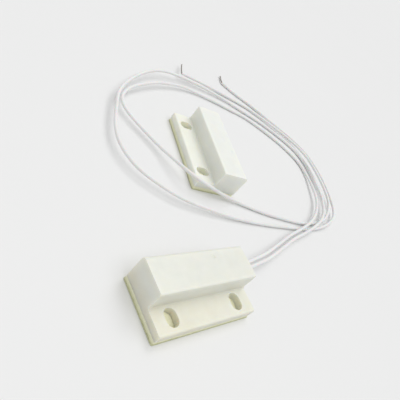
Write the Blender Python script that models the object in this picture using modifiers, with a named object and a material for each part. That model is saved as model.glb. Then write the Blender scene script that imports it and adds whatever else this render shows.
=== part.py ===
"""Door contact sensor: a wired reed-switch half and a loose magnet half.

Both halves share one L-shaped moulding: a block that holds the works, and a low flange in front of it with
two oval screw slots. Each stands on double-sided foam tape whose liner is still on. The origin is the centre
of the switch half's underside, +X along its length, +Y from the flange to the block and +Z up.
"""

import math

import bmesh
import bpy
from mathutils import Vector

MM = 0.001

# One half, with its tape: both halves have the same outer size
LENGTH = 27.0 * MM
WIDTH = 14.0 * MM
HEIGHT = 8.1 * MM
FLANGE_TOP = 3.1 * MM
BLOCK_DEPTH = 8.2 * MM

# The stack under a housing, from the table up
SEAM = 0.1 * MM
LINER_THICK = 0.12 * MM
LINER_LENGTH = 27.5 * MM
LINER_WIDTH = 14.3 * MM
TAPE_THICK = 0.85 * MM
TAPE_LENGTH = 27.1 * MM
TAPE_WIDTH = 14.0 * MM
TAPE_BOTTOM = LINER_THICK + SEAM
HOUSING_BOTTOM = TAPE_BOTTOM + TAPE_THICK + SEAM

# Housing details
WALL = 1.2 * MM
ROOF = 1.1 * MM
EDGE_ROUND = 0.35 * MM
BACK_EDGE_ROUND = 0.9 * MM
END_BEVEL = 0.2 * MM
COVER_THICK = 0.9 * MM
COVER_LEDGE = 0.5 * MM
CAVITY_CORNER = 0.4 * MM
REBATE_CORNER = 0.6 * MM
PLATE_CORNER = 0.5 * MM
SLOT_WIDTH = 2.9 * MM
SLOT_LENGTH = 4.0 * MM
SLOT_SPACING = 18.2 * MM
SLOT_Y = -3.85 * MM
FIT_GAP = 0.2 * MM

# Places across the block
FRONT = -WIDTH / 2
BACK = WIDTH / 2
RISER = BACK - BLOCK_DEPTH
CAVITY_FRONT = RISER + WALL
CAVITY_BACK = BACK - WALL
CAVITY_END = LENGTH / 2 - WALL
CAVITY_TOP = HEIGHT - ROOF
CAVITY_MID = (CAVITY_FRONT + CAVITY_BACK) / 2

# Reed switch
REED_Y = 1.9 * MM
REED_Z = 4.5 * MM
GLASS_LENGTH = 14.0 * MM
GLASS_RADIUS = 1.1 * MM
GLASS_WALL = 0.25 * MM
SEAL_LENGTH = 1.4 * MM
LEAD_RADIUS = 0.28 * MM
LEAD_END = 8.5 * MM
LEAD_CLEARANCE = 0.1 * MM
GLASS_SHOULDER = ((0.7 * MM, 0.1 * MM), (0.95 * MM, 0.5 * MM), (GLASS_RADIUS, 1.1 * MM))
GLASS_THROAT = ((0.6 * MM, 0.1 * MM), (GLASS_RADIUS - GLASS_WALL, 0.6 * MM))
BLADE_THICK = 0.2 * MM
BLADE_WIDTH = 1.1 * MM
BLADE_ROOT = 5.2 * MM
BLADE_OVERLAP = 0.6 * MM
BLADE_CORNER = 0.25 * MM
STEM_GAP = 0.15 * MM
CONTACT_GAP = 0.2 * MM

# Solder, conductors and wires
SOLDER_LENGTH = 1.3 * MM
SOLDER_RADIUS = 0.5 * MM
CONDUCTOR_RADIUS = 0.25 * MM
CONDUCTOR_STRIPPED = 0.5 * MM
CONDUCTOR_BULGE = 1.05 * MM
RETURN_Y = 4.9 * MM
WIRE_RADIUS = 0.5 * MM
EXIT_A_Y = 2.6 * MM
EXIT_B_Y = 4.0 * MM
EXIT_Z = 3.4 * MM
EXIT_HEIGHT = 2.2 * MM
EXIT_WIDTH = 3.7 * MM
INNER_WIRE_END = 12.0 * MM
SLEEVE_CLEARANCE = 0.15 * MM
PLUG_LENGTH = 1.6 * MM
PLUG_X = 12.55 * MM

# Glue pads on the reed and on the magnet
REED_GLUE_LENGTH = 2.6 * MM
REED_GLUE_WIDTH = 2.4 * MM
REED_GLUE_DEPTH = 0.6 * MM
REED_GLUE_X = 4.0 * MM
MAGNET_GLUE_LENGTH = 3.0 * MM
MAGNET_GLUE_WIDTH = 2.4 * MM
MAGNET_GLUE_THICK = 0.6 * MM
MAGNET_GLUE_X = 5.5 * MM

# Magnet half: where its underside is centred, and how it is turned on the table
MAGNET_PLACE = (27.3 * MM, 41.2 * MM, 0)
MAGNET_TURN = math.radians(-102.3)
MAGNET_LENGTH = 18.0 * MM
MAGNET_DEPTH = 4.6 * MM
MAGNET_HEIGHT = 4.2 * MM
MAGNET_EDGE = 0.2 * MM

# Free wires: points down the middle of each, in millimetres, from the exit to where the insulation stops
WIRE_A_ROUTE = [
    (12.2, 2.6, 3.4), (16.5, 2.8, 3.4), (21.7, 3.6, 3.2), (29.1, 5.0, 2.7), (37.8, 7.5, 2.1),
    (46.1, 10.0, 1.8), (53.6, 11.6, 1.8), (60.0, 13.2, 2.0), (66.1, 15.3, 2.2), (71.3, 18.4, 2.2),
    (75.4, 22.4, 2.0), (78.6, 26.7, 1.8), (83.1, 35.6, 1.0), (84.9, 42.8, 0.7), (83.6, 50.0, 0.6),
    (78.3, 56.8, 0.6), (71.2, 63.1, 0.6), (64.0, 67.7, 0.6), (57.0, 71.8, 0.8), (47.2, 75.2, 1.4),
    (38.9, 76.2, 2.2), (30.2, 76.2, 2.9), (21.7, 73.2, 3.2), (13.0, 67.5, 3.3), (6.2, 61.0, 3.2),
    (2.2, 53.7, 3.0), (-0.8, 46.5, 2.8), (-1.6, 40.7, 2.6), (0.0, 34.7, 2.4), (3.9, 29.8, 2.2),
    (9.6, 25.2, 2.0), (16.8, 22.0, 1.6), (26.9, 18.9, 1.0), (36.6, 16.8, 0.6), (47.3, 15.0, 0.6),
    (58.0, 13.6, 0.6), (65.4, 13.5, 0.9), (71.8, 14.6, 1.4), (77.1, 17.0, 1.8), (80.6, 21.3, 2.2),
    (83.7, 29.5, 2.8), (86.1, 39.2, 2.8), (87.0, 47.4, 2.3), (85.0, 55.9, 1.4), (80.4, 63.7, 0.8),
    (74.3, 71.3, 0.6), (69.0, 76.2, 0.6), (65.8, 79.5, 0.6), (63.9, 82.3, 0.6),
]
WIRE_B_ROUTE = [
    (12.2, 4.0, 3.4), (16.5, 4.2, 3.4), (21.4, 4.9, 3.2), (28.8, 6.4, 2.7), (37.3, 8.9, 2.1),
    (45.5, 11.4, 1.8), (52.9, 13.1, 1.8), (59.0, 14.8, 2.0), (64.2, 17.1, 2.1), (69.0, 20.3, 2.1),
    (73.0, 24.1, 1.9), (76.0, 28.6, 1.7), (79.7, 36.0, 0.9), (80.7, 43.0, 0.6), (77.6, 50.1, 0.6),
    (71.9, 56.9, 0.6), (64.7, 63.1, 0.6), (57.8, 66.3, 0.6), (50.6, 69.2, 0.7), (43.2, 71.5, 0.9),
    (35.5, 72.0, 1.6), (25.6, 70.2, 2.2), (17.0, 67.0, 2.5), (11.0, 63.8, 2.4), (7.4, 60.4, 2.3),
    (6.2, 56.6, 2.1), (7.4, 52.0, 1.8), (11.3, 43.3, 1.8), (13.1, 37.6, 2.8), (14.6, 32.8, 3.8),
    (17.2, 29.5, 4.0), (20.9, 27.4, 3.4), (25.5, 26.1, 2.1), (32.0, 24.2, 0.9), (40.6, 20.7, 0.6),
    (48.9, 18.0, 0.6), (57.9, 15.8, 0.6), (65.0, 15.5, 0.8), (70.5, 16.3, 1.3), (75.0, 18.7, 1.8),
    (79.2, 23.0, 2.4), (82.2, 30.1, 2.8), (84.6, 39.6, 2.8), (85.4, 47.2, 2.3), (82.7, 55.8, 1.4),
    (77.0, 63.4, 0.8), (70.0, 69.6, 0.6), (62.0, 73.6, 0.6), (54.4, 76.3, 0.9), (47.2, 77.7, 1.5),
    (42.6, 78.1, 2.0), (39.6, 78.8, 2.2),
]
BARE_A_ROUTE = [(64.0, 82.8, 0.6), (64.7, 84.6, 0.6), (65.9, 86.8, 0.6)]
BARE_B_ROUTE = [(39.8, 79.3, 2.2), (41.6, 82.3, 1.9), (43.9, 85.7, 1.5)]
WIRE_POINTS = 80
INNER_WIRE_POINTS = 18
SHORT_WIRE_POINTS = 7
BARE_POINTS = 5

# Smoothness
ARC_STEPS = 3
BEND_STEPS = 8
CURVE_STEPS = 20
TURNED_SIDES = 16
ROD_SIDES = 12
WIRE_BEVEL_RESOLUTION = 2
# Two arcs that fill an end would share their middle point, so their radius stays just under half the width
NEARLY_HALF = 0.4995
# How far a cutter reaches past the face it opens
CUT_PAST = 1.0 * MM

IVORY = (0.80, 0.79, 0.70)
TAPE_YELLOW = (0.72, 0.71, 0.49)
LINER_GREEN = (0.50, 0.50, 0.27)
GLUE_WHITE = (0.85, 0.84, 0.80)
STEEL_GREY = (0.56, 0.56, 0.58)
SOLDER_GREY = (0.62, 0.62, 0.64)
COPPER_RED = (0.72, 0.42, 0.25)
TINNED_GREY = (0.55, 0.53, 0.50)
FERRITE_GREY = (0.09, 0.09, 0.10)
GLASS_TINT = (0.75, 0.85, 0.80)
WIRE_WHITE = (0.85, 0.85, 0.84)


def clear_scene():
    for item in list(bpy.data.objects):
        bpy.data.objects.remove(item, do_unlink=True)


def make_collection(name):
    collection = bpy.data.collections.new(name)
    bpy.context.scene.collection.children.link(collection)
    return collection


def material(name, colour, roughness, metallic=0.0):
    made = bpy.data.materials.new(name)
    made.use_nodes = True
    shader = made.node_tree.nodes["Principled BSDF"]
    shader.inputs["Base Color"].default_value = (*colour, 1.0)
    shader.inputs["Roughness"].default_value = roughness
    shader.inputs["Metallic"].default_value = metallic
    return made


def add(name, data, parent, collection, location=(0, 0, 0), rotation=(0, 0, 0)):
    item = bpy.data.objects.new(name, data)
    collection.objects.link(item)
    item.parent = parent
    item.location = location
    item.rotation_euler = rotation
    return item


def finish(item, colour, roughness, metallic=0.0, smooth=False):
    item.data.materials.append(material(item.name, colour, roughness, metallic))
    if smooth:
        item.data.shade_smooth()
    return item


def as_cutter(item):
    item.hide_render = True
    item.display_type = "WIRE"
    return item


def cut(item, cutter):
    modifier = item.modifiers.new("cut_" + cutter.name, "BOOLEAN")
    modifier.operation = "DIFFERENCE"
    modifier.solver = "EXACT"
    modifier.object = cutter


def bevel(item, width, segments=2):
    modifier = item.modifiers.new("edges", "BEVEL")
    modifier.width = width
    modifier.segments = segments
    modifier.limit_method = "ANGLE"
    modifier.angle_limit = math.radians(50)


def round_corners(corners):
    """The points of a closed outline whose corners (x, y, radius) are arcs."""
    points = []
    for i, (x, y, radius) in enumerate(corners):
        corner = Vector((x, y))
        to_last = (Vector(corners[i - 1][:2]) - corner).normalized()
        to_next = (Vector(corners[(i + 1) % len(corners)][:2]) - corner).normalized()
        if radius == 0:
            points.append(corner)
            continue
        half_angle = to_last.angle(to_next) / 2
        middle = (to_last + to_next).normalized()
        centre = corner + middle * radius / math.sin(half_angle)
        start = corner + to_last * radius / math.tan(half_angle) - centre
        sweep = start.angle_signed(corner + to_next * radius / math.tan(half_angle) - centre)
        for step in range(ARC_STEPS + 1):
            angle = -sweep * step / ARC_STEPS
            turned = (
                start.x * math.cos(angle) - start.y * math.sin(angle),
                start.x * math.sin(angle) + start.y * math.cos(angle),
            )
            points.append(centre + Vector(turned))
    return points


def slab(name, corners, thickness, parent, collection, location=(0, 0, 0), rotation=(0, 0, 0)):
    """A flat outline with rounded corners, thickened equally to both sides of its plane."""
    curve = bpy.data.curves.new(name, "CURVE")
    curve.dimensions = "2D"
    curve.fill_mode = "BOTH"
    curve.extrude = thickness / 2
    points = round_corners(corners)
    spline = curve.splines.new("POLY")
    spline.points.add(len(points) - 1)
    for point, place in zip(spline.points, points, strict=True):
        point.co = (place.x, place.y, 0, 1)
    spline.use_cyclic_u = True
    guide = bpy.data.objects.new(name + "_outline", curve)
    bpy.context.scene.collection.objects.link(guide)
    bpy.context.view_layer.update()
    mesh = bpy.data.meshes.new_from_object(guide.evaluated_get(bpy.context.evaluated_depsgraph_get()))
    bpy.data.objects.remove(guide, do_unlink=True)
    shape = bmesh.new()
    shape.from_mesh(mesh)
    bmesh.ops.remove_doubles(shape, verts=shape.verts, dist=1e-7)
    bmesh.ops.recalc_face_normals(shape, faces=shape.faces)
    shape.to_mesh(mesh)
    shape.free()
    mesh.name = name
    return add(name, mesh, parent, collection, location, rotation)


def rectangle(x_low, x_high, y_low, y_high, radius):
    corners = ((x_low, y_low), (x_high, y_low), (x_high, y_high), (x_low, y_high))
    return [(x, y, radius) for x, y in corners]


def plate(name, length, width, radius, bottom, thickness, parent, collection, middle_y=0.0, middle_x=0.0):
    """A rectangular plate with rounded corners, lying flat."""
    corners = rectangle(-length / 2, length / 2, -width / 2, width / 2, radius)
    return slab(name, corners, thickness, parent, collection, (middle_x, middle_y, bottom + thickness / 2))


# Turns a slab's outline plane upright: its x runs along Y, its y along Z, and its thickness along X
ACROSS = (math.pi / 2, 0, math.pi / 2)
# Turns a piece made about Z so that it lies along X
ALONG_X = (0, math.pi / 2, 0)


def rod(name, radius, low_x, high_x, y, z, parent, collection, sides=ROD_SIDES):
    """A plain cylinder along X."""
    bpy.ops.mesh.primitive_cylinder_add(vertices=sides, radius=radius, depth=high_x - low_x)
    item = bpy.context.active_object
    mesh = item.data
    bpy.data.objects.remove(item, do_unlink=True)
    return add(name, mesh, parent, collection, ((low_x + high_x) / 2, y, z), ALONG_X)


def turned(name, profile, parent, collection, location):
    """A closed profile of (radius, height) points swept round Z, then laid along X."""
    shape = bmesh.new()
    points = [shape.verts.new((radius, 0, height)) for radius, height in profile]
    for i, point in enumerate(points):
        shape.edges.new((point, points[(i + 1) % len(points)]))
    mesh = bpy.data.meshes.new(name)
    shape.to_mesh(mesh)
    shape.free()
    item = add(name, mesh, parent, collection, location, ALONG_X)
    sweep = item.modifiers.new("turn", "SCREW")
    sweep.steps = TURNED_SIDES
    sweep.render_steps = TURNED_SIDES
    sweep.use_merge_vertices = True
    sweep.merge_threshold = 1e-6
    return item


def smooth_line(points, count):
    """Evenly spaced points along the Catmull-Rom curve through the given points."""
    through = [Vector(p) for p in points]
    padded = [2 * through[0] - through[1], *through, 2 * through[-1] - through[-2]]
    fine = []
    for p0, p1, p2, p3 in zip(padded, padded[1:], padded[2:], padded[3:]):
        for step in range(CURVE_STEPS):
            t = step / CURVE_STEPS
            fine.append(
                0.5 * (2 * p1 + (p2 - p0) * t + (2 * p0 - 5 * p1 + 4 * p2 - p3) * t**2
                       + (3 * p1 - p0 - 3 * p2 + p3) * t**3)
            )
    fine.append(through[-1])
    along = [0.0]
    for a, b in zip(fine, fine[1:]):
        along.append(along[-1] + (b - a).length)
    even, i = [], 0
    for k in range(count):
        target = along[-1] * k / (count - 1)
        while i < len(fine) - 2 and along[i + 1] < target:
            i += 1
        share = (target - along[i]) / (along[i + 1] - along[i])
        even.append(fine[i].lerp(fine[i + 1], min(share, 1.0)))
    return even


def tube(name, points, radius, parent, collection):
    """A round wire along a line of points, closed at both ends."""
    curve = bpy.data.curves.new(name, "CURVE")
    curve.dimensions = "3D"
    curve.bevel_depth = radius
    curve.bevel_resolution = WIRE_BEVEL_RESOLUTION
    curve.use_fill_caps = True
    spline = curve.splines.new("POLY")
    spline.points.add(len(points) - 1)
    for point, place in zip(spline.points, points, strict=True):
        point.co = (*place, 1)
    return add(name, curve, parent, collection)


def make_housing(prefix, parent, parts, cutters):
    """The L-shaped moulding, hollow under its block, with the two screw slots through its flange."""
    profile = [
        (FRONT, HOUSING_BOTTOM, EDGE_ROUND),
        (BACK, HOUSING_BOTTOM, EDGE_ROUND),
        (BACK, HEIGHT, BACK_EDGE_ROUND),
        (RISER, HEIGHT, EDGE_ROUND),
        (RISER, FLANGE_TOP, EDGE_ROUND),
        (FRONT, FLANGE_TOP, EDGE_ROUND),
    ]
    housing = slab(prefix + "_housing", profile, LENGTH, parent, parts, rotation=ACROSS)
    bevel(housing, END_BEVEL)
    depth = CAVITY_BACK - CAVITY_FRONT
    below = HOUSING_BOTTOM - CUT_PAST
    cavity = plate(
        prefix + "_cavity_cutter", 2 * CAVITY_END, depth, CAVITY_CORNER,
        below, CAVITY_TOP - below, parent, cutters, CAVITY_MID,
    )
    rebate = plate(
        prefix + "_rebate_cutter", 2 * (CAVITY_END + COVER_LEDGE), depth + 2 * COVER_LEDGE, REBATE_CORNER,
        below, COVER_THICK + CUT_PAST, parent, cutters, CAVITY_MID,
    )
    cut(housing, as_cutter(cavity))
    cut(housing, as_cutter(rebate))
    for side, x in (("left", -SLOT_SPACING / 2), ("right", SLOT_SPACING / 2)):
        cut(housing, slot_cutter(prefix, side, x, parent, cutters))
    return finish(housing, IVORY, 0.42)


def slot_cutter(prefix, side, x, parent, cutters):
    corners = rectangle(
        -SLOT_WIDTH / 2, SLOT_WIDTH / 2, -SLOT_LENGTH / 2, SLOT_LENGTH / 2, SLOT_WIDTH * NEARLY_HALF
    )
    depth = FLANGE_TOP - HOUSING_BOTTOM + 2 * CUT_PAST
    place = (x, SLOT_Y, (HOUSING_BOTTOM + FLANGE_TOP) / 2)
    return as_cutter(slab(f"{prefix}_slot_{side}_cutter", corners, depth, parent, cutters, place))


def make_base_cover(prefix, parent, parts):
    """The plate that closes the hollow from below, let into a rebate."""
    cover = plate(
        prefix + "_base_cover",
        2 * (CAVITY_END + COVER_LEDGE - FIT_GAP),
        CAVITY_BACK - CAVITY_FRONT + 2 * (COVER_LEDGE - FIT_GAP),
        PLATE_CORNER, HOUSING_BOTTOM, COVER_THICK - FIT_GAP, parent, parts, CAVITY_MID,
    )
    return finish(cover, IVORY, 0.5)


def make_tape(prefix, parent, parts):
    foam = plate(
        prefix + "_foam_tape", TAPE_LENGTH, TAPE_WIDTH, PLATE_CORNER, TAPE_BOTTOM, TAPE_THICK, parent, parts
    )
    finish(foam, TAPE_YELLOW, 0.9)
    liner = plate(
        prefix + "_release_liner", LINER_LENGTH, LINER_WIDTH, PLATE_CORNER, 0, LINER_THICK, parent, parts
    )
    finish(liner, LINER_GREEN, 0.6)


def make_glass(parent, parts):
    """A drawn glass tube, necked down onto the lead at both ends."""
    half = GLASS_LENGTH / 2
    throat = half - SEAL_LENGTH
    neck = LEAD_RADIUS + LEAD_CLEARANCE
    outer = [(neck, half), *((radius, half - drop) for radius, drop in GLASS_SHOULDER)]
    inner = [(neck, throat), *((radius, throat - drop) for radius, drop in GLASS_THROAT)]
    mirrored_outer = [(radius, -height) for radius, height in reversed(outer)]
    mirrored_inner = [(radius, -height) for radius, height in inner]
    profile = outer + mirrored_outer + mirrored_inner + inner[::-1]
    glass = turned("reed_glass_tube", profile, parent, parts, (0, REED_Y, REED_Z))
    return finish(glass, GLASS_TINT, 0.05, smooth=True)


def make_blade(name, side, parent, parts):
    """A flattened blade from its seal to just past the tube's middle; its origin is where it flexes."""
    reach = side * (BLADE_ROOT + BLADE_OVERLAP)
    low, high = sorted((0.0, -reach))
    corners = rectangle(low, high, -BLADE_WIDTH / 2, BLADE_WIDTH / 2, BLADE_CORNER)
    height = REED_Z + side * (CONTACT_GAP + BLADE_THICK) / 2
    blade = slab(name, corners, BLADE_THICK, parent, parts, (side * BLADE_ROOT, REED_Y, height))
    return finish(blade, STEEL_GREY, 0.3, 1.0)


def make_reed_end(side_name, side, parent, parts):
    """The blade's stem through the seal, and the solder drop on it."""
    reach = sorted((side * (BLADE_ROOT + STEM_GAP), side * LEAD_END))
    lead = rod(f"reed_lead_{side_name}", LEAD_RADIUS, *reach, REED_Y, REED_Z, parent, parts)
    finish(lead, STEEL_GREY, 0.35, 1.0, smooth=True)
    bpy.ops.mesh.primitive_uv_sphere_add(segments=12, ring_count=8, radius=SOLDER_RADIUS)
    ball = bpy.context.active_object
    mesh = ball.data
    bpy.data.objects.remove(ball, do_unlink=True)
    for vertex in mesh.vertices:
        vertex.co.z *= SOLDER_LENGTH / 2 / SOLDER_RADIUS
    x = side * (LEAD_END + SEAM + SOLDER_LENGTH / 2)
    drop = add(f"solder_joint_{side_name}", mesh, parent, parts, (x, REED_Y, REED_Z), ALONG_X)
    finish(drop, SOLDER_GREY, 0.3, 1.0, smooth=True)


def make_conductors(start, parent, parts):
    """The bare strands at the solder: the left ones turn back on themselves, the right ones run straight."""
    bend = (RETURN_Y - REED_Y) / 2
    turn = [(-start, REED_Y, REED_Z)]
    for step in range(BEND_STEPS + 1):
        angle = math.pi * step / BEND_STEPS
        x = -start - FIT_GAP - CONDUCTOR_BULGE * math.sin(angle)
        turn.append((x, REED_Y + bend * (1 - math.cos(angle)), REED_Z))
    turn.append((-start + 0.4 * MM, RETURN_Y, REED_Z))
    left = tube("conductor_left", turn, CONDUCTOR_RADIUS, parent, parts)
    finish(left, COPPER_RED, 0.35, 1.0)
    straight = [(start + CONDUCTOR_STRIPPED * share, REED_Y, REED_Z) for share in (0, 0.5, 1)]
    right = tube("conductor_right", straight, CONDUCTOR_RADIUS, parent, parts)
    finish(right, COPPER_RED, 0.35, 1.0)


def make_inner_wiring(parent, parts):
    """Wire A goes to the right lead; wire B runs back along the glass and turns round to the left lead."""
    start = LEAD_END + SEAM + SOLDER_LENGTH + SEAM
    make_conductors(start, parent, parts)
    short_route = [
        (start + CONDUCTOR_STRIPPED + SEAM, REED_Y, REED_Z),
        (10.9 * MM, 2.1 * MM, 4.1 * MM),
        (11.5 * MM, 2.55 * MM, 3.5 * MM),
        (INNER_WIRE_END, EXIT_A_Y, EXIT_Z),
    ]
    long_route = [
        (-start + CONDUCTOR_STRIPPED, RETURN_Y, REED_Z),
        (-4.0 * MM, RETURN_Y, REED_Z),
        (4.0 * MM, RETURN_Y, REED_Z),
        (8.6 * MM, 4.8 * MM, 4.2 * MM),
        (10.6 * MM, 4.2 * MM, 3.6 * MM),
        (INNER_WIRE_END, EXIT_B_Y, EXIT_Z),
    ]
    for name, route, count in (
        ("inner_wire_a", short_route, SHORT_WIRE_POINTS),
        ("inner_wire_b", long_route, INNER_WIRE_POINTS),
    ):
        wire = tube(name, smooth_line(route, count), WIRE_RADIUS, parent, parts)
        finish(wire, WIRE_WHITE, 0.45)


def oval(width, height):
    return rectangle(-width / 2, width / 2, -height / 2, height / 2, height * NEARLY_HALF)


def cut_exit(housing, parent, parts, cutters):
    """The oval exit in the block's right end, and the glue plug that holds both wires in it."""
    middle = (EXIT_A_Y + EXIT_B_Y) / 2
    opening = slab(
        "exit_cutter", oval(EXIT_WIDTH, EXIT_HEIGHT), 2 * (WALL + FIT_GAP),
        parent, cutters, (LENGTH / 2, middle, EXIT_Z), ACROSS,
    )
    cut(housing, as_cutter(opening))
    gap = SLEEVE_CLEARANCE
    plug = slab(
        "exit_glue_plug", oval(EXIT_WIDTH - 2 * gap, EXIT_HEIGHT - 2 * gap), PLUG_LENGTH,
        parent, parts, (PLUG_X, middle, EXIT_Z), ACROSS,
    )
    reach = PLUG_LENGTH / 2 + CUT_PAST
    for name, y in (("a", EXIT_A_Y), ("b", EXIT_B_Y)):
        hole = rod(
            f"plug_hole_{name}_cutter", WIRE_RADIUS + gap, PLUG_X - reach, PLUG_X + reach, y, EXIT_Z,
            parent, cutters,
        )
        cut(plug, as_cutter(hole))
    finish(plug, GLUE_WHITE, 0.5)


def make_reed_glue(side_name, x, parent, parts, cutters):
    """A pad of glue between the roof and the top of the glass, moulded to the tube."""
    bottom = REED_Z + GLASS_RADIUS - REED_GLUE_DEPTH
    pad = plate(
        f"reed_glue_{side_name}", REED_GLUE_LENGTH, REED_GLUE_WIDTH, PLATE_CORNER,
        bottom, CAVITY_TOP - SEAM - bottom, parent, parts, REED_Y, x,
    )
    saddle = rod(
        f"saddle_{side_name}_cutter", GLASS_RADIUS + FIT_GAP, x - REED_GLUE_LENGTH, x + REED_GLUE_LENGTH,
        REED_Y, REED_Z, parent, cutters, TURNED_SIDES,
    )
    cut(pad, as_cutter(saddle))
    finish(pad, GLUE_WHITE, 0.4)


def make_magnet(parent, parts):
    """A plain bar magnet, glued to the roof of its housing."""
    bar_top = CAVITY_TOP - MAGNET_GLUE_THICK
    bar = plate(
        "magnet_bar", MAGNET_LENGTH, MAGNET_DEPTH, PLATE_CORNER, bar_top - MAGNET_HEIGHT, MAGNET_HEIGHT,
        parent, parts, CAVITY_MID,
    )
    bevel(bar, MAGNET_EDGE, 1)
    finish(bar, FERRITE_GREY, 0.55, 0.3)
    for side_name, side in (("left", -1), ("right", 1)):
        pad = plate(
            f"magnet_glue_{side_name}", MAGNET_GLUE_LENGTH, MAGNET_GLUE_WIDTH, PLATE_CORNER,
            bar_top + SEAM, MAGNET_GLUE_THICK - 2 * SEAM, parent, parts, CAVITY_MID, side * MAGNET_GLUE_X,
        )
        finish(pad, GLUE_WHITE, 0.4)


def make_free_wires(parent, parts):
    """Each wire is insulation to the end of its route, and bare twisted strands beyond it."""
    for name, route, bare in (
        ("wire_a", WIRE_A_ROUTE, BARE_A_ROUTE),
        ("wire_b", WIRE_B_ROUTE, BARE_B_ROUTE),
    ):
        line = smooth_line([Vector(p) * MM for p in route], WIRE_POINTS)
        finish(tube(name, line, WIRE_RADIUS, parent, parts), WIRE_WHITE, 0.45)
        line = smooth_line([Vector(p) * MM for p in bare], BARE_POINTS)
        tip = tube(name + "_bare_end", line, CONDUCTOR_RADIUS, parent, parts)
        finish(tip, TINNED_GREY, 0.35, 1.0)


def main():
    clear_scene()
    parts = make_collection("door_contact_sensor")
    cutters = make_collection("cutters")
    switch = add("switch_half", None, None, parts)
    magnet = add("magnet_half", None, None, parts, MAGNET_PLACE, (0, 0, MAGNET_TURN))
    switch_housing = make_housing("switch", switch, parts, cutters)
    make_housing("magnet", magnet, parts, cutters)
    for prefix, parent in (("switch", switch), ("magnet", magnet)):
        make_base_cover(prefix, parent, parts)
        make_tape(prefix, parent, parts)
    cut_exit(switch_housing, switch, parts, cutters)
    make_glass(switch, parts)
    for side_name, side in (("left", -1), ("right", 1)):
        make_blade(f"reed_blade_{side_name}", side, switch, parts)
        make_reed_end(side_name, side, switch, parts)
        make_reed_glue(side_name, side * REED_GLUE_X, switch, parts, cutters)
    make_inner_wiring(switch, parts)
    make_free_wires(switch, parts)
    make_magnet(magnet, parts)


main()
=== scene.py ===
"""Looks of the door contact sensor: two halves on foam tape, the works inside them, and two free wires."""

import math

import bmesh
import bpy
from mathutils import Matrix, Vector, noise


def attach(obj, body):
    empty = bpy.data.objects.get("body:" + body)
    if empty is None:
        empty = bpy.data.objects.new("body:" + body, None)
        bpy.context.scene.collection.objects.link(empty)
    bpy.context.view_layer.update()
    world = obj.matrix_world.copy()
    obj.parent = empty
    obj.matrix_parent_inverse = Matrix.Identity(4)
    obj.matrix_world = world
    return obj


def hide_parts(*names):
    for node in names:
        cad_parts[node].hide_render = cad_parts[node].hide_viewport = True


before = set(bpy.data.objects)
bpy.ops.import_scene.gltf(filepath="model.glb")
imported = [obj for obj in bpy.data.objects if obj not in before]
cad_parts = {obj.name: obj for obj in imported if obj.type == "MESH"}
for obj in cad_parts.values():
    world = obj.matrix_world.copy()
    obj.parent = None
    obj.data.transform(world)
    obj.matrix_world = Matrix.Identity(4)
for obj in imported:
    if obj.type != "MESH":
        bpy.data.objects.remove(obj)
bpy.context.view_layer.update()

MM = 0.001

# ---- Sizes, the same as the CAD part's -------------------------------------------------------------
LENGTH, WIDTH, HEIGHT = 27.0 * MM, 14.0 * MM, 8.1 * MM
FLANGE_TOP, BLOCK_DEPTH = 3.1 * MM, 8.2 * MM
FRONT, BACK = -WIDTH / 2, WIDTH / 2
RISER = BACK - BLOCK_DEPTH
LINER_THICK, HOUSING_BOTTOM = 0.12 * MM, 1.17 * MM
WALL, ROOF = 1.2 * MM, 1.1 * MM
COVER_THICK, COVER_LEDGE = 0.9 * MM, 0.5 * MM
CAVITY_FRONT, CAVITY_BACK = RISER + WALL, BACK - WALL
CAVITY_END, CAVITY_TOP = LENGTH / 2 - WALL, HEIGHT - ROOF
CAVITY_MID, CAVITY_HALF_WIDTH = (CAVITY_FRONT + CAVITY_BACK) / 2, (CAVITY_BACK - CAVITY_FRONT) / 2
CAVITY_CORNER, REBATE_CORNER = 0.4 * MM, 0.6 * MM
SLOT_WIDTH, SLOT_LENGTH, SLOT_SPACING, SLOT_Y = 2.9 * MM, 4.0 * MM, 18.2 * MM, -3.85 * MM
EXIT_A_Y, EXIT_B_Y, EXIT_Z = 2.6 * MM, 4.0 * MM, 3.4 * MM
EXIT_MID = (EXIT_A_Y + EXIT_B_Y) / 2
EXIT_WIDTH, EXIT_HEIGHT = 3.7 * MM, 2.2 * MM
PLUG_BACK, PLUG_FACE = 11.75 * MM, 13.35 * MM
WIRE_START, WIRE_RADIUS = 12.2 * MM, 0.5 * MM
TAPE_LENGTH, TAPE_WIDTH = 27.1 * MM, 14.0 * MM
FOAM_BOTTOM, FOAM_TOP = LINER_THICK + 0.01 * MM, HOUSING_BOTTOM - 0.005 * MM
LINER_LENGTH, LINER_WIDTH = 27.5 * MM, 14.3 * MM
CUT_CORNER = 0.5 * MM
MAGNET_PLACE = Matrix.Translation((27.3 * MM, 41.2 * MM, 0)) @ Matrix.Rotation(math.radians(-102.3), 4, "Z")
SWITCH_PLACE = Matrix.Identity(4)

# ---- Edges and details of the mouldings ------------------------------------------------------------
EDGE_ROUND, BACK_EDGE_ROUND, FOOT_ROUND = 0.35 * MM, 0.9 * MM, 0.06 * MM
END_ROUND, RIM_ROUND, RIM_STEPS = 0.22 * MM, 0.14 * MM, 4
SHARP_FOOT = 0.07 * MM  # the ends' edges this near the tape stay sharp
PAST = 1.0 * MM  # how far a cutter runs past the face that it cuts
GATE_PLACE, GATE_SIDES = (3.6 * MM, 4.9 * MM), 24
# The gate's dish from its stub out, in millimetres: radius, and height above the top face
GATE_PROFILE = ((0.1, -0.02), (0.13, -0.09), (0.3, -0.09), (0.4, -0.06), (0.47, 0.0), (0.5, 0.2))

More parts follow.
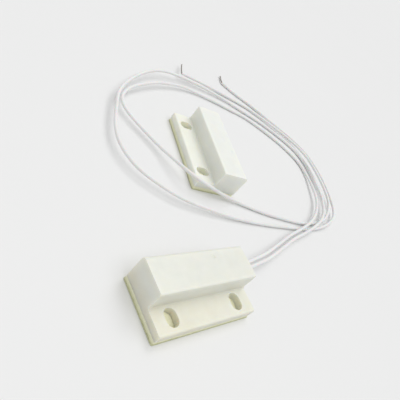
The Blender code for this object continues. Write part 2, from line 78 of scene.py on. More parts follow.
# ---- Cut edges of the foam and the liner, in millimetres -------------------------------------------
FOAM_SPACING, FOAM_LAYERS = 0.16, 10
FOAM_SWELL, FOAM_SHRINK = 0.05, 0.03
FOAM_WAVES = ((0.045, 4.5, (1, 0, 0)), (0.06, 1.1, (0, 1, 0)))  # size, waves a millimetre, seed's direction
LINER_SPACING, LINER_INSETS = 0.3, (0.34, 0.22, 0.05, 0.0)
LINER_LIFT, LIFTED_WIDTH, LINER_TRIM = 0.045, 0.25, 0.03

# ---- Exit glue -------------------------------------------------------------------------------------
GLUE_HALF_WIDTH, GLUE_HALF_HEIGHT = EXIT_WIDTH / 2 + 0.05 * MM, EXIT_HEIGHT / 2 + 0.05 * MM
GLUE_COLUMNS, GLUE_ROWS, HOLE_SIDES = 56, 36, 32
GLUE_SINK, GLUE_DOME, GLUE_CLIMB, GLUE_CLIMB_WIDTH = 0.05 * MM, 0.12 * MM, 0.3 * MM, 0.16 * MM
GLUE_GAP, WIRE_GAP = 0.02 * MM, 0.005 * MM

# ---- Free wires: points down the middle, in millimetres, from the exit to the insulation's end -------
WIRE_A_ROUTE = [
    (12.2, 2.6, 3.4), (16.5, 2.8, 3.4), (21.7, 3.6, 3.2), (29.1, 5.0, 2.7), (37.8, 7.5, 2.1),
    (46.1, 10.0, 1.8), (53.6, 11.6, 1.8), (60.0, 13.2, 2.0), (66.1, 15.3, 2.2), (71.3, 18.4, 2.2),
    (75.4, 22.4, 2.0), (78.6, 26.7, 1.8), (83.1, 35.6, 1.0), (84.9, 42.8, 0.7), (83.6, 50.0, 0.6),
    (78.3, 56.8, 0.6), (71.2, 63.1, 0.6), (64.0, 67.7, 0.6), (57.0, 71.8, 0.8), (47.2, 75.2, 1.4),
    (38.9, 76.2, 2.2), (30.2, 76.2, 2.9), (21.7, 73.2, 3.2), (13.0, 67.5, 3.3), (6.2, 61.0, 3.2),
    (2.2, 53.7, 3.0), (-0.8, 46.5, 2.8), (-1.6, 40.7, 2.6), (0.0, 34.7, 2.4), (3.9, 29.8, 2.2),
    (9.6, 25.2, 2.0), (16.8, 22.0, 1.6), (26.9, 18.9, 1.0), (36.6, 16.8, 0.6), (47.3, 15.0, 0.6),
    (58.0, 13.6, 0.6), (65.4, 13.5, 0.9), (71.8, 14.6, 1.4), (77.1, 17.0, 1.8), (80.6, 21.3, 2.2),
    (83.7, 29.5, 2.8), (86.1, 39.2, 2.8), (87.0, 47.4, 2.3), (85.0, 55.9, 1.4), (80.4, 63.7, 0.8),
    (74.3, 71.3, 0.6), (69.0, 76.2, 0.6), (65.8, 79.5, 0.6), (63.9, 82.3, 0.6),
]
WIRE_B_ROUTE = [
    (12.2, 4.0, 3.4), (16.5, 4.2, 3.4), (21.4, 4.9, 3.2), (28.8, 6.4, 2.7), (37.3, 8.9, 2.1),
    (45.5, 11.4, 1.8), (52.9, 13.1, 1.8), (59.0, 14.8, 2.0), (64.2, 17.1, 2.1), (69.0, 20.3, 2.1),
    (73.0, 24.1, 1.9), (76.0, 28.6, 1.7), (79.7, 36.0, 0.9), (80.7, 43.0, 0.6), (77.6, 50.1, 0.6),
    (71.9, 56.9, 0.6), (64.7, 63.1, 0.6), (57.8, 66.3, 0.6), (50.6, 69.2, 0.7), (43.2, 71.5, 0.9),
    (35.5, 72.0, 1.6), (25.6, 70.2, 2.2), (17.0, 67.0, 2.5), (11.0, 63.8, 2.4), (7.4, 60.4, 2.3),
    (6.2, 56.6, 2.1), (7.4, 52.0, 1.8), (11.3, 43.3, 1.8), (13.1, 37.6, 2.8), (14.6, 32.8, 3.8),
    (17.2, 29.5, 4.0), (20.9, 27.4, 3.4), (25.5, 26.1, 2.1), (32.0, 24.2, 0.9), (40.6, 20.7, 0.6),
    (48.9, 18.0, 0.6), (57.9, 15.8, 0.6), (65.0, 15.5, 0.8), (70.5, 16.3, 1.3), (75.0, 18.7, 1.8),
    (79.2, 23.0, 2.4), (82.2, 30.1, 2.8), (84.6, 39.6, 2.8), (85.4, 47.2, 2.3), (82.7, 55.8, 1.4),
    (77.0, 63.4, 0.8), (70.0, 69.6, 0.6), (62.0, 73.6, 0.6), (54.4, 76.3, 0.9), (47.2, 77.7, 1.5),
    (42.6, 78.1, 2.0), (39.6, 78.8, 2.2),
]
BARE_A_ROUTE = [(64.0, 82.8, 0.6), (64.7, 84.6, 0.6), (65.9, 86.8, 0.6)]
BARE_B_ROUTE = [(39.8, 79.3, 2.2), (41.6, 82.3, 1.9), (43.9, 85.7, 1.5)]
WIRE_POINTS, WIRE_WAVER, CUT_END_TAPER = 460, 0.012, 0.93
STRANDS, STRAND_POINTS = 7, 60
STRAND_RADIUS, STRAND_LAY, STRAND_SPLAY = 0.08 * MM, 3.2 * MM, 0.12
SHORTEST_STRAND, STRAND_REACH = 0.9, 2.02  # as a share of the longest, and in strand radii


# ---- Node materials --------------------------------------------------------------------------------
MIX_SHARE, MIX_FIRST, MIX_SECOND, MIX_RESULT = 0, 6, 7, 2  # a colour mix's sockets share their names


class Paint:
    """A material under construction. Every pattern is read in the piece's own coordinates, in metres."""

    def __init__(self, name, roughness=0.5, metallic=0.0, **sockets):
        self.material = bpy.data.materials.new(name)
        self.material.use_nodes = True
        self.tree = self.material.node_tree
        self.shader = self.tree.nodes["Principled BSDF"]
        self.shader.inputs["Roughness"].default_value = roughness
        self.shader.inputs["Metallic"].default_value = metallic
        for socket, value in sockets.items():
            self.shader.inputs[socket.replace("_", " ")].default_value = value
        self.place = self.add("ShaderNodeTexCoord").outputs["Object"]

    def add(self, kind, **settings):
        made = self.tree.nodes.new(kind)
        for name, value in settings.items():
            setattr(made, name, value)
        return made

    def fill(self, node, **values):
        """Links a socket, or sets a value, on each named input."""
        for name, value in values.items():
            target = node.inputs[name.replace("_", " ")]
            if isinstance(value, bpy.types.NodeSocket):
                self.tree.links.new(value, target)
            else:
                target.default_value = value
        return node

    def stretched(self, scale):
        return self.fill(self.add("ShaderNodeMapping"), Vector=self.place, Scale=scale).outputs["Vector"]

    def grain(self, scale, detail=3.0, rough=0.5, at=None, distortion=0.0):
        made = self.fill(
            self.add("ShaderNodeTexNoise"), Vector=at or self.place, Scale=scale, Detail=detail,
            Roughness=rough, Distortion=distortion,
        )
        return made.outputs["Fac"]

    def cells(self, scale):
        made = self.fill(self.add("ShaderNodeTexVoronoi"), Vector=self.place, Scale=scale)
        return made.outputs["Distance"]

    def spread(self, source, low, high, start=0.0, end=1.0):
        made = self.fill(self.add("ShaderNodeMapRange"), Value=source)
        for index, value in enumerate((start, end, low, high), 1):
            made.inputs[index].default_value = value
        return made.outputs["Result"]

    def along(self, axis, start, end, low=0.0, high=1.0):
        """From low at start to high at end, along one of the piece's own axes."""
        parts = self.fill(self.add("ShaderNodeSeparateXYZ"), Vector=self.place)
        return self.spread(parts.outputs[axis], low, high, start, end)

    def blend(self, share, first, second):
        """From the first colour to the second as share goes from 0 to 1."""
        made = self.add("ShaderNodeMix", data_type="RGBA")
        for index, value in ((MIX_SHARE, share), (MIX_FIRST, first), (MIX_SECOND, second)):
            if isinstance(value, bpy.types.NodeSocket):
                self.tree.links.new(value, made.inputs[index])
            else:
                made.inputs[index].default_value = (*value, 1.0)
        return made.outputs[MIX_RESULT]

    def tinted(self, first, second):
        """Two colours multiplied."""
        made = self.add("ShaderNodeMix", data_type="RGBA", blend_type="MULTIPLY")
        made.inputs[MIX_SHARE].default_value = 1.0
        self.tree.links.new(first, made.inputs[MIX_FIRST])
        self.tree.links.new(second, made.inputs[MIX_SECOND])
        return made.outputs[MIX_RESULT]

    def times(self, first, second):
        """Two numbers multiplied."""
        made = self.add("ShaderNodeMath", operation="MULTIPLY")
        for target, value in zip(made.inputs, (first, second)):
            self.tree.links.new(value, target)
        return made.outputs[0]

    def colour(self, source):
        self.tree.links.new(source, self.shader.inputs["Base Color"])

    def rough(self, source):
        self.tree.links.new(source, self.shader.inputs["Roughness"])

    def bumps(self, *layers):
        """Each layer is (height, distance in metres): coarse ones first."""
        normal = None
        for height, distance in layers:
            made = self.fill(self.add("ShaderNodeBump"), Height=height, Distance=distance)
            if normal is not None:
                self.tree.links.new(normal, made.inputs["Normal"])
            normal = made.outputs["Normal"]
        self.tree.links.new(normal, self.shader.inputs["Normal"])
        return self.material


def moulded_plastic(name, light, deep, shade_tint):
    """Satin moulded plastic: cloudy colour, a warm painted shade that grows towards the foot and the -X end,
    fine grain.
    """
    p = Paint(name, Subsurface_Weight=0.55, Subsurface_Scale=2.0 * MM, Subsurface_Radius=(1.0, 0.85, 0.6))
    cloud = p.blend(p.spread(p.grain(260, 4, 0.55, distortion=0.4), 0.0, 1.0, 0.3, 0.7), light, deep)
    # Painted shade: the colour is darkened and warmed towards the foot and the -X end, the side away from the
    # lights, in patches.
    towards_foot = p.along("Z", 1.0 * MM, 5.5 * MM, 1.0, 0.0)
    towards_end = p.along("X", -LENGTH / 2, LENGTH / 2, 1.0, 0.45)
    patches = p.spread(p.grain(500, 3), 0.6, 1.0, 0.3, 0.7)
    painted_shade = p.blend(p.times(p.times(towards_foot, towards_end), patches), (1.0, 1.0, 1.0), shade_tint)
    p.colour(p.tinted(cloud, painted_shade))
    flow = p.grain(1.0, 3, 0.6, at=p.stretched((180.0, 900.0, 900.0)), distortion=0.6)
    p.rough(p.spread(flow, 0.34, 0.5))
    return p.bumps((p.grain(420, 2), 9e-6), (flow, 2e-6), (p.grain(6500, 3, 0.6), 3.5e-6))


def foam(name):
    """Open-cell tape foam: pale walls, with painted shade darkening the pores between them and the foam's
    foot.
    """
    p = Paint(name, roughness=0.85, Sheen_Weight=0.15, Sheen_Roughness=0.6)
    # Painted shade: the pores' darker colour stands in for the shade inside the foam's cells.
    pores = p.spread(p.cells(5200), 0.0, 1.0, 0.05, 0.55)
    patch = p.blend(p.grain(500, 3), (0.82, 0.81, 0.56), (0.89, 0.88, 0.68))
    # Painted shade: the foam is darker and greener towards its foot, next to the liner and the floor.
    low = p.blend(p.along("Z", 0.15 * MM, 0.95 * MM), (0.69, 0.70, 0.38), (0.86, 0.86, 0.66))
    base = p.blend(p.grain(900, 2), patch, low)
    p.colour(p.blend(p.spread(pores, 0.75, 0.0), base, (0.74, 0.74, 0.44)))
    return p.bumps((p.grain(1200, 2), 3e-5), (pores, 3.5e-5))


def waxed_paper(name):
    """Release liner: olive waxed paper with fibres and a dull shine."""
    p = Paint(name, Coat_Weight=0.2, Coat_Roughness=0.35)
    fibres = p.grain(1.0, 5, 0.65, at=p.stretched((1500.0, 6000.0, 3000.0)), distortion=1.2)
    p.colour(p.blend(p.spread(fibres, 0.0, 1.0, 0.3, 0.7), (0.50, 0.51, 0.34), (0.64, 0.65, 0.46)))
    p.rough(p.spread(p.grain(900, 3), 0.42, 0.65))
    return p.bumps((p.grain(300, 2), 1.5e-5), (fibres, 6e-6))


def soft_vinyl(name, light, deep):
    """Wire insulation: soft white vinyl with drawing marks, faint dirt and small dents."""
    p = Paint(name, Subsurface_Weight=0.2, Subsurface_Scale=0.6 * MM, Coat_Weight=0.12, Coat_Roughness=0.25)
    dirt = p.spread(p.grain(150, 5, 0.7), 0.0, 1.0, 0.42, 0.75)
    p.colour(p.blend(dirt, light, deep))
    p.rough(p.spread(p.grain(800, 3), 0.42, 0.6))
    return p.bumps((p.grain(650, 2), 2.5e-5), (p.grain(5200, 3), 4e-6))


def metal(name, light, deep, roughness, scale=(400.0, 9000.0, 9000.0)):
    """Drawn or plated metal: streaks along X, and duller patches."""
    p = Paint(name, metallic=1.0)
    streaks = p.grain(1.0, 4, 0.6, at=p.stretched(scale))
    p.colour(p.blend(p.grain(1500, 4, 0.6), light, deep))
    p.rough(p.spread(streaks, roughness - 0.1, roughness + 0.14))
    return p.bumps((streaks, 2.5e-6))


def set_glue(name):
    """Set glue: milky, with small trapped bubbles and a wavy skin."""
    p = Paint(name, Subsurface_Weight=0.25, Subsurface_Scale=0.6 * MM, Coat_Weight=0.4, Coat_Roughness=0.15)
    bubbles = p.spread(p.cells(3200), 1.0, 0.0, 0.05, 0.3)
    p.colour(p.blend(bubbles, (0.80, 0.79, 0.74), (0.66, 0.64, 0.57)))
    p.rough(p.spread(p.grain(1100, 2), 0.25, 0.4))
    return p.bumps((p.grain(900, 2), 4e-5), (bubbles, 6e-6))


def clear_glass(name):
    """Drawn glass, faintly green, with long ripples."""
    p = Paint(name, roughness=0.03, Transmission_Weight=1.0, IOR=1.5)
    ripple = p.grain(1.0, 2, 0.4, at=p.stretched((150.0, 1800.0, 1800.0)))
    p.colour(p.blend(ripple, (0.90, 0.96, 0.93), (0.80, 0.90, 0.85)))
    return p.bumps((ripple, 4e-6))


def sintered_ferrite(name):
    """Pressed ferrite: near black, with a grey sparkle of grains and a chalky skin."""
    p = Paint(name, metallic=0.25)
    grains = p.cells(7000)
    p.colour(p.blend(p.spread(grains, 0.0, 1.0, 0.1, 0.6), (0.035, 0.035, 0.04), (0.13, 0.13, 0.14)))
    p.rough(p.spread(p.grain(1500, 3), 0.45, 0.7))
    return p.bumps((p.grain(900, 2), 1.5e-5), (grains, 8e-6))


# The last colour of each is the tint of its painted shade.
IVORY = moulded_plastic("ivory_moulding", (0.80, 0.805, 0.73), (0.76, 0.765, 0.69), (0.95, 0.89, 0.76))
# Painted light: a lighter copy of the same ivory for the magnet half, standing in for the brighter light that
# falls on that half.
BRIGHTER_LIT_IVORY = moulded_plastic(
    "brighter_lit_ivory_moulding", (0.865, 0.875, 0.81), (0.835, 0.845, 0.78), (1.0, 0.985, 0.90)
)
COVER = moulded_plastic("cover_moulding", (0.80, 0.79, 0.71), (0.74, 0.73, 0.65), (1.0, 0.97, 0.86))
FOAM = foam("tape_foam")
LINER = waxed_paper("liner_paper")
VINYL = soft_vinyl("wire_vinyl", (0.82, 0.825, 0.82), (0.77, 0.775, 0.765))
INNER_VINYL = soft_vinyl("inner_wire_vinyl", (0.82, 0.82, 0.81), (0.76, 0.76, 0.74))
REED_METAL = metal("reed_nickel_iron", (0.60, 0.60, 0.61), (0.48, 0.47, 0.46), 0.3)
SOLDER = metal("tin_solder", (0.68, 0.68, 0.70), (0.50, 0.50, 0.51), 0.28, (2500.0, 2500.0, 2500.0))
COPPER = metal("bare_copper", (0.80, 0.47, 0.30), (0.62, 0.33, 0.20), 0.34)
TINNED = metal("tinned_strands", (0.50, 0.48, 0.45), (0.30, 0.27, 0.24), 0.36)
GLASS = clear_glass("drawn_glass")
GLUE = set_glue("milky_glue")
FERRITE = sintered_ferrite("pressed_ferrite")

CAD_FINISHES = {
    "switch_base_cover": COVER, "magnet_base_cover": COVER,
    "reed_glass_tube": GLASS,
    "reed_blade_left": REED_METAL, "reed_blade_right": REED_METAL,
    "reed_lead_left": REED_METAL, "reed_lead_right": REED_METAL,
    "solder_joint_left": SOLDER, "solder_joint_right": SOLDER,
    "conductor_left": COPPER, "conductor_right": COPPER,
    "inner_wire_a": INNER_VINYL, "inner_wire_b": INNER_VINYL,
    "reed_glue_left": GLUE, "reed_glue_right": GLUE,
    "magnet_glue_left": GLUE, "magnet_glue_right": GLUE,
    "magnet_bar": FERRITE,
}
for node_name, finish in CAD_FINISHES.items():
    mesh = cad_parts[node_name].data
    mesh.materials.clear()
    mesh.materials.append(finish)


# ---- Camera ----------------------------------------------------------------------------------------
CAMERA_PLACE = Vector((-62.69, -23.20, 65.53)) * MM
CAMERA_RIGHT, CAMERA_UP = Vector((0.70975, -0.42469, 0.56204)), Vector((0.00299, 0.79965, 0.60045))
CAMERA_LENS, CAMERA_SENSOR = 39.38, 36.0


def make_camera():
    """The camera is rolled, so it is turned by its own axes and not aimed."""
    back = CAMERA_RIGHT.cross(CAMERA_UP).normalized()
    up = back.cross(CAMERA_RIGHT)
    data = bpy.data.cameras.new("camera")
    data.lens, data.sensor_width = CAMERA_LENS, CAMERA_SENSOR
    data.clip_start, data.clip_end = 5 * MM, 50.0
    camera = bpy.data.objects.new("camera", data)
    scene = bpy.context.scene
    scene.collection.objects.link(camera)
    turn = Matrix((CAMERA_RIGHT.normalized(), up.normalized(), back)).transposed().to_4x4()
    camera.matrix_world = Matrix.Translation(CAMERA_PLACE) @ turn
    scene.camera = camera


make_camera()


# ---- Shapes ----------------------------------------------------------------------------------------
def link(name, data, material, place=SWITCH_PLACE):
    made = bpy.data.objects.new(name, data)
    bpy.context.scene.collection.objects.link(made)
    made.matrix_world = place
    if material is not None:
        data.materials.append(material)
    return made


def mesh_of(shape, name):
    bmesh.ops.recalc_face_normals(shape, faces=shape.faces)
    mesh = bpy.data.meshes.new(name)
    shape.to_mesh(mesh)
    shape.free()
    return mesh


def rounded(corners):
    """A closed outline of (u, v) points whose corners (u, v, radius, steps) are arcs."""
    points = []
    for i, (u, v, radius, steps) in enumerate(corners):
        corner = Vector((u, v))
        to_last = (Vector(corners[i - 1][:2]) - corner).normalized()
        to_next = (Vector(corners[(i + 1) % len(corners)][:2]) - corner).normalized()
        half = to_last.angle(to_next) / 2
        centre = corner + (to_last + to_next).normalized() * radius / math.sin(half)
        start = corner + to_last * radius / math.tan(half) - centre
        end = corner + to_next * radius / math.tan(half) - centre
        first, sweep = math.atan2(start.y, start.x), start.angle_signed(end)
        for step in range(steps + 1):
            angle = first - sweep * step / steps
            points.append((centre.x + radius * math.cos(angle), centre.y + radius * math.sin(angle)))
    return points


def box_outline(u, v, half_u, half_v, radius, steps=6):
    """A rounded rectangle about (u, v). A radius too large for it makes its ends round."""
    corners = ((-1, -1), (1, -1), (1, 1), (-1, 1))
    radius = min(radius, 0.999 * min(half_u, half_v))
    return rounded([(u + a * half_u, v + b * half_v, radius, steps) for a, b in corners])


def circle(u, v, radius, sides):
    return [
        (u + radius * math.cos(math.tau * k / sides), v + radius * math.sin(math.tau * k / sides))
        for k in range(sides)
    ]


def join_rows(shape, rows):
    for low, high in zip(rows, rows[1:]):
        for i in range(len(low)):
            j = (i + 1) % len(low)
            shape.faces.new((low[i], low[j], high[j], high[i]))


def stacked(rings):
    """A closed solid through rings of the same number of points, its two ends capped flat."""
    shape = bmesh.new()
    rows = [[shape.verts.new(p) for p in ring] for ring in rings]
    join_rows(shape, rows)
    shape.faces.new(rows[0][::-1])
    shape.faces.new(rows[-1])
    return shape


def upright(outline, z):
    return [(u, v, z) for u, v in outline]


def sideways(outline, x):
    return [(x, u, v) for u, v in outline]


def oval(u, v, length, width, steps):
    """An opening whose ends are half circles. A width past the length lies along v."""
    return box_outline(u, v, length / 2, width / 2, max(length, width), steps)


def rim_steps(face, depth):
    """(place, how much wider the hole is) from depth under face, over a rounded rim, to well outside."""
    steps = [(face - depth, 0.0)]
    for step in range(RIM_STEPS + 1):
        angle = math.pi / 2 * step / RIM_STEPS
        steps.append((face - RIM_ROUND * (1 - math.sin(angle)), RIM_ROUND * (1 - math.cos(angle))))
    return [*steps, (face + PAST, RIM_ROUND)]


def slot_cutter(x):
    through = FLANGE_TOP - HOUSING_BOTTOM + PAST
    rings = [
        upright(oval(x, SLOT_Y, SLOT_WIDTH + 2 * wider, SLOT_LENGTH + 2 * wider, 14), z)
        for z, wider in rim_steps(FLANGE_TOP, through)
    ]
    return mesh_of(stacked(rings), "slot")


def exit_cutter():
    rings = [
        sideways(oval(EXIT_MID, EXIT_Z, EXIT_WIDTH + 2 * wider, EXIT_HEIGHT + 2 * wider, 12), x)
        for x, wider in rim_steps(LENGTH / 2, WALL + PAST)
    ]
    return mesh_of(stacked(rings), "exit")


def pocket_cutter(half_x, half_y, radius, top):
    outline = box_outline(0, CAVITY_MID, half_x, half_y, radius)
    return mesh_of(stacked([upright(outline, HOUSING_BOTTOM - PAST), upright(outline, top)]), "pocket")


def gate_cutter():
    """The shallow dish round an injection gate, with the gate's stub left in its middle."""
    rings = [
        upright(circle(*GATE_PLACE, radius * MM, GATE_SIDES), HEIGHT + z * MM) for radius, z in GATE_PROFILE
    ]
    return mesh_of(stacked(rings), "gate")


def carved(mesh, cutters):
    """The mesh with each cutter taken out of it."""
    body = link("uncut", mesh, None)
    knives = [link("knife", cutter, None) for cutter in cutters]
    for knife in knives:
        cut = body.modifiers.new("cut", "BOOLEAN")
        cut.operation, cut.solver, cut.object = "DIFFERENCE", "EXACT", knife
    bpy.context.view_layer.update()
    made = bpy.data.meshes.new_from_object(body.evaluated_get(bpy.context.evaluated_depsgraph_get()))
    for item in (body, *knives):
        bpy.data.objects.remove(item, do_unlink=True)
    return made


def smooth(item, angle=32):
    """Smooth shading that breaks at true corners, with flats kept flat beside their rounded edges."""
    item.data.shade_smooth()
    item.data.set_sharp_from_angle(angle=math.radians(angle))
    weighted = item.modifiers.new("flat_faces", "WEIGHTED_NORMAL")
    weighted.keep_sharp = True
    return item


def make_housing(prefix, place, body, finish, extra_cutters):
    """The L-shaped moulding: every outer edge rounded, hollow block, two slots with softened rims."""
    outline = rounded([
        (FRONT, HOUSING_BOTTOM, FOOT_ROUND, 3),
        (BACK, HOUSING_BOTTOM, FOOT_ROUND, 3),
        (BACK, HEIGHT, BACK_EDGE_ROUND, 12),
        (RISER, HEIGHT, EDGE_ROUND, 7),
        (RISER, FLANGE_TOP, EDGE_ROUND, 7),
        (FRONT, FLANGE_TOP, EDGE_ROUND, 7),
    ])
    shape = stacked([sideways(outline, -LENGTH / 2), sideways(outline, LENGTH / 2)])
    ends = [
        edge for edge in shape.edges
        if edge.verts[0].co.x == edge.verts[1].co.x
        and max(v.co.z for v in edge.verts) > HOUSING_BOTTOM + SHARP_FOOT
    ]
    bmesh.ops.bevel(shape, geom=ends, offset=END_ROUND, segments=4, profile=0.5, affect="EDGES")
    cutters = [
        pocket_cutter(CAVITY_END, CAVITY_HALF_WIDTH, CAVITY_CORNER, CAVITY_TOP),
        pocket_cutter(
            CAVITY_END + COVER_LEDGE, CAVITY_HALF_WIDTH + COVER_LEDGE, REBATE_CORNER,
            HOUSING_BOTTOM + COVER_THICK,
        ),
        slot_cutter(-SLOT_SPACING / 2), slot_cutter(SLOT_SPACING / 2), gate_cutter(), *extra_cutters,
    ]
    mesh = carved(mesh_of(shape, prefix), cutters)
    mesh.name = prefix + "_moulding"
    housing = smooth(link(prefix + "_moulding", mesh, finish, place))
    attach(housing, body)
    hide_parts(prefix + "_housing")


def cut_outline(length, width, spacing):
    """A die-cut rectangle about the middle: points about this far apart, each with its outward direction."""
    corners = [Vector(p) for p in box_outline(0, 0, length / 2, width / 2, CUT_CORNER, 8)]
    dense = []
    for start, end in zip(corners, corners[1:] + corners[:1]):
        count = max(1, round((end - start).length / spacing))
        dense += [start.lerp(end, k / count) for k in range(count)]
    result = []
    for i, point in enumerate(dense):
        along = (dense[(i + 1) % len(dense)] - dense[i - 1]).normalized()
        result.append((point, Vector((along.y, -along.x))))
    return result


def make_tape(prefix, place, body, seed):
    """Die-cut foam: its sides swell a little between the two faces and are ragged with cut cells."""
    outline = cut_outline(TAPE_LENGTH, TAPE_WIDTH, FOAM_SPACING * MM)
    rings = []
    for layer in range(FOAM_LAYERS + 1):
        share = layer / FOAM_LAYERS
        z = FOAM_BOTTOM + (FOAM_TOP - FOAM_BOTTOM) * share
        ring = []
        for point, out in outline:
            spot = Vector((point.x, point.y, z)) / MM
            ragged = sum(
                size * noise.noise(spot * rate + seed * Vector(direction))
                for size, rate, direction in FOAM_WAVES
            )
            swell = FOAM_SWELL * math.sin(math.pi * share) - FOAM_SHRINK
            edge = point + out * (swell + ragged) * MM
            ring.append((edge.x, edge.y, z))
        rings.append(ring)
    tape = smooth(link(prefix + "_tape", mesh_of(stacked(rings), prefix + "_tape"), FOAM, place), 60)
    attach(tape, body)
    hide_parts(prefix + "_foam_tape")


def make_liner(prefix, place, body, seed):
    """Paper cut a little larger than the tape, its free edge lifting slightly off the surface."""
    outline = cut_outline(LINER_LENGTH, LINER_WIDTH, LINER_SPACING * MM)
    under = [(inset, 0.0) for inset in LINER_INSETS]
    over = [(inset, LINER_THICK) for inset in reversed(LINER_INSETS)]
    rings = []
    for inset, face in under + over:
        ring = []
        for point, out in outline:
            spot = Vector((point.x / MM * 0.5, point.y / MM * 0.5, seed))
            lift = LINER_LIFT * (1 + noise.noise(spot)) * max(0.0, 1 - inset / LIFTED_WIDTH)
            trim = LINER_TRIM * (noise.noise(spot * 3) - 0.4)
            edge = point + out * (trim - inset) * MM
            ring.append((edge.x, edge.y, lift * MM + face))
        rings.append(ring)
    liner = smooth(link(prefix + "_liner", mesh_of(stacked(rings), prefix + "_liner"), LINER, place), 60)
    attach(liner, body)
    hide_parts(prefix + "_release_liner")


def glue_face(y, z):
    """How far out the glue's face stands: domed in the exit, and drawn up along each wire."""
    off_middle = ((y - EXIT_MID) / GLUE_HALF_WIDTH) ** 2 + ((z - EXIT_Z) / GLUE_HALF_HEIGHT) ** 2
    x = PLUG_FACE - GLUE_SINK + GLUE_DOME * (1 - min(1.0, off_middle))
    for wire_y in (EXIT_A_Y, EXIT_B_Y):
        off_wire = max(math.hypot(y - wire_y, z - EXIT_Z) - WIRE_RADIUS, 0.0)
        x += GLUE_CLIMB * math.exp(-off_wire / GLUE_CLIMB_WIDTH)
    return x


def glue_block():
    """A block with a flat back and the glue's face in front, larger than the exit."""
    shape = bmesh.new()
    grids = [[], []]
    for row in range(GLUE_ROWS + 1):
        z = EXIT_Z + GLUE_HALF_HEIGHT * (2 * row / GLUE_ROWS - 1)
        across = [EXIT_MID + GLUE_HALF_WIDTH * (2 * k / GLUE_COLUMNS - 1) for k in range(GLUE_COLUMNS + 1)]
        grids[0].append([shape.verts.new((PLUG_BACK, y, z)) for y in across])
        grids[1].append([shape.verts.new((glue_face(y, z), y, z)) for y in across])
    for grid in grids:
        for low, high in zip(grid, grid[1:]):
            for k in range(GLUE_COLUMNS):
                shape.faces.new((low[k], low[k + 1], high[k + 1], high[k]))
    border = [(0, c) for c in range(GLUE_COLUMNS)] + [(r, GLUE_COLUMNS) for r in range(GLUE_ROWS)]
    border += [(GLUE_ROWS, c) for c in range(GLUE_COLUMNS, 0, -1)] + [(r, 0) for r in range(GLUE_ROWS, 0, -1)]
    back, front = grids
    for (r0, c0), (r1, c1) in zip(border, border[1:] + border[:1]):
        shape.faces.new((back[r0][c0], back[r1][c1], front[r1][c1], front[r0][c0]))
    bmesh.ops.triangulate(shape, faces=shape.faces)
    return mesh_of(shape, "glue")


def ring_solid(rings):
    """A closed ring-shaped solid through rings that come back to the first one."""
    shape = bmesh.new()
    rows = [[shape.verts.new(p) for p in ring] for ring in rings]
    join_rows(shape, rows + rows[:1])
    return shape


def make_exit_glue():
    """Glue filling the exit, cut from a block by a sleeve round it and a hole for each wire."""
    behind, ahead = PLUG_BACK - PAST, PLUG_FACE + 2 * PAST
    inner = oval(EXIT_MID, EXIT_Z, EXIT_WIDTH - 2 * GLUE_GAP, EXIT_HEIGHT - 2 * GLUE_GAP, 16)
    outer = oval(EXIT_MID, EXIT_Z, 2 * EXIT_WIDTH, 2 * EXIT_WIDTH, 16)
    sleeve = ring_solid([
        sideways(inner, behind), sideways(inner, ahead), sideways(outer, ahead), sideways(outer, behind),
    ])
    cutters = [mesh_of(sleeve, "sleeve")]
    for wire_y in (EXIT_A_Y, EXIT_B_Y):
        hole = circle(wire_y, EXIT_Z, WIRE_RADIUS + WIRE_GAP, HOLE_SIDES)
        cutters.append(mesh_of(stacked([sideways(hole, behind), sideways(hole, ahead)]), "hole"))
    plug = smooth(link("exit_glue", carved(glue_block(), cutters), GLUE), 50)
    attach(plug, "switch_half")
    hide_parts("exit_glue_plug")


# ---- Wires -----------------------------------------------------------------------------------------
def travelled(line):
    """The distance along the line at each of its points."""
    so_far = [0.0]
    for start, end in zip(line, line[1:]):
        so_far.append(so_far[-1] + (end - start).length)
    return so_far


def smooth_line(through, count, steps=20):
    """Evenly spaced points along the Catmull-Rom curve through the given points."""
    padded = [2 * through[0] - through[1], *through, 2 * through[-1] - through[-2]]
    fine = []
    for p0, p1, p2, p3 in zip(padded, padded[1:], padded[2:], padded[3:]):
        for step in range(steps):
            t = step / steps
            square = (2 * p0 - 5 * p1 + 4 * p2 - p3) * t**2
            cube = (3 * p1 - p0 - 3 * p2 + p3) * t**3
            fine.append(0.5 * (2 * p1 + (p2 - p0) * t + square + cube))
    fine.append(through[-1])
    along = travelled(fine)
    even, i = [], 0
    for k in range(count):
        target = along[-1] * k / (count - 1)
        while i < len(fine) - 2 and along[i + 1] < target:
            i += 1
        share = (target - along[i]) / (along[i + 1] - along[i])
        even.append(fine[i].lerp(fine[i + 1], min(share, 1.0)))
    return even


def add_spline(curve, points, radii):
    spline = curve.splines.new("POLY")
    spline.points.add(len(points) - 1)
    for point, place, radius in zip(spline.points, points, radii):
        point.co = (*place, 1)
        point.radius = radius


def round_curve(name, radius, resolution):
    curve = bpy.data.curves.new(name, "CURVE")
    curve.dimensions = "3D"
    curve.bevel_depth = radius
    curve.bevel_resolution = resolution
    curve.use_fill_caps = True
    return curve


def make_strands(name, node, line, seed):
    """Tinned strands: one down the middle and the others laid round it, loosening towards the cut end."""
    curve = round_curve(name, STRAND_RADIUS, 2)
    side = (line[1] - line[0]).orthogonal().normalized()
    sides = []
    for i in range(len(line)):
        ahead = (line[min(i + 1, len(line) - 1)] - line[max(i - 1, 0)]).normalized()
        side = (side - ahead * side.dot(ahead)).normalized()
        sides.append((side, ahead.cross(side)))
    runs = travelled(line)
    for strand in range(STRANDS):
        cut = SHORTEST_STRAND + (1 - SHORTEST_STRAND) * abs(math.sin(seed + strand * 2.4))
        splay = STRAND_SPLAY * math.sin(strand * 5.1 + seed)
        points = []
        for point, (u, v), run in zip(line, sides, runs):
            share = run / runs[-1]
            if share > cut:
                break
            reach = STRAND_REACH * STRAND_RADIUS * (1 + splay * share) if strand else 0.0
            angle = math.tau * (strand / (STRANDS - 1) + run / STRAND_LAY)
            points.append(point + reach * (u * math.cos(angle) + v * math.sin(angle)))
        add_spline(curve, points, [1.0] * len(points))
    strands = link(name, curve, TINNED)
    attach(strands, "switch_half")
    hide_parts(node)
    return strands


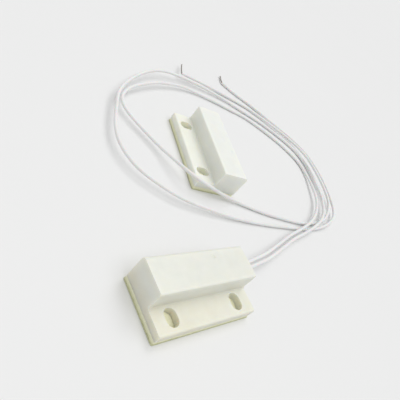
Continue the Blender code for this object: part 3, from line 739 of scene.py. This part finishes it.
def make_wire(letter, route, bare_route, seed):
    """One insulated wire from inside the glue to its stripped end, whose rim is cut back a little."""
    name = f"wire_{letter}"
    line = smooth_line([Vector(p) * MM for p in route], WIRE_POINTS)
    radii = [1 + WIRE_WAVER * noise.noise(p / MM * 0.35 + Vector((seed, 0, 0))) for p in line]
    before, last = line[-2:]
    curve = round_curve(f"{name}_insulation", WIRE_RADIUS, 4)
    add_spline(
        curve, [*line[:-1], last.lerp(before, 0.08), last], [*radii[:-1], 1.0, radii[-1] * CUT_END_TAPER]
    )
    wire = link(f"{name}_insulation", curve, VINYL)
    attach(wire, "switch_half")
    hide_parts(name)
    tip = smooth_line([before, last, *(Vector(p) * MM for p in bare_route)], STRAND_POINTS)
    strands = make_strands(f"{name}_strands", f"{name}_bare_end", tip, seed)


make_wire("a", WIRE_A_ROUTE, BARE_A_ROUTE, 1.7)
make_wire("b", WIRE_B_ROUTE, BARE_B_ROUTE, 5.2)
make_housing("switch", SWITCH_PLACE, "switch_half", IVORY, [exit_cutter()])
# The magnet half takes the lighter copy of the ivory, its painted light.
make_housing("magnet", MAGNET_PLACE, "magnet_half", BRIGHTER_LIT_IVORY, [])
make_tape("switch", SWITCH_PLACE, "switch_half", 3.0)
make_tape("magnet", MAGNET_PLACE, "magnet_half", 11.0)
make_liner("switch", SWITCH_PLACE, "switch_half", 2.0)
make_liner("magnet", MAGNET_PLACE, "magnet_half", 8.0)
make_exit_glue()


# ---- Studio ----------------------------------------------------------------------------------------
FLOOR_REACH, FLOOR_GAP = 15.0, 0.02 * MM
WORLD_STRENGTH = 0.585
# Each softbox: name, direction towards it, strength, and how many degrees of sky it fills
SOFTBOXES = (
    ("overhead_softbox", (0.02, -0.26, 0.96), 1.02, 50),
    ("side_softbox", (0.45, 0.30, 0.84), 0.60, 30),
)


def make_floor():
    p = Paint("pale_surface", roughness=0.6, Specular_IOR_Level=0.25)
    p.colour(p.blend(p.grain(14, 3), (0.795, 0.797, 0.795), (0.805, 0.807, 0.805)))
    material = p.bumps((p.grain(3000, 2), 2e-6))
    shape = bmesh.new()
    bmesh.ops.create_grid(shape, x_segments=4, y_segments=4, size=FLOOR_REACH)
    floor = link("floor", mesh_of(shape, "floor"), material, Matrix.Translation((0, 0, -FLOOR_GAP)))


def make_lights():
    scene = bpy.context.scene
    scene.view_settings.view_transform = "Standard"
    world = bpy.data.worlds.new("studio")
    scene.world = world
    world.use_nodes = True
    background = world.node_tree.nodes["Background"]
    background.inputs["Color"].default_value = (1.0, 1.0, 1.0, 1.0)
    background.inputs["Strength"].default_value = WORLD_STRENGTH
    for name, towards, strength, spread in SOFTBOXES:
        sun = bpy.data.lights.new(name, "SUN")
        sun.energy, sun.angle = strength, math.radians(spread)
        lamp = bpy.data.objects.new(name, sun)
        scene.collection.objects.link(lamp)
        lamp.rotation_mode = "QUATERNION"
        lamp.rotation_quaternion = Vector(towards).to_track_quat("Z", "Y")


make_floor()
make_lights()
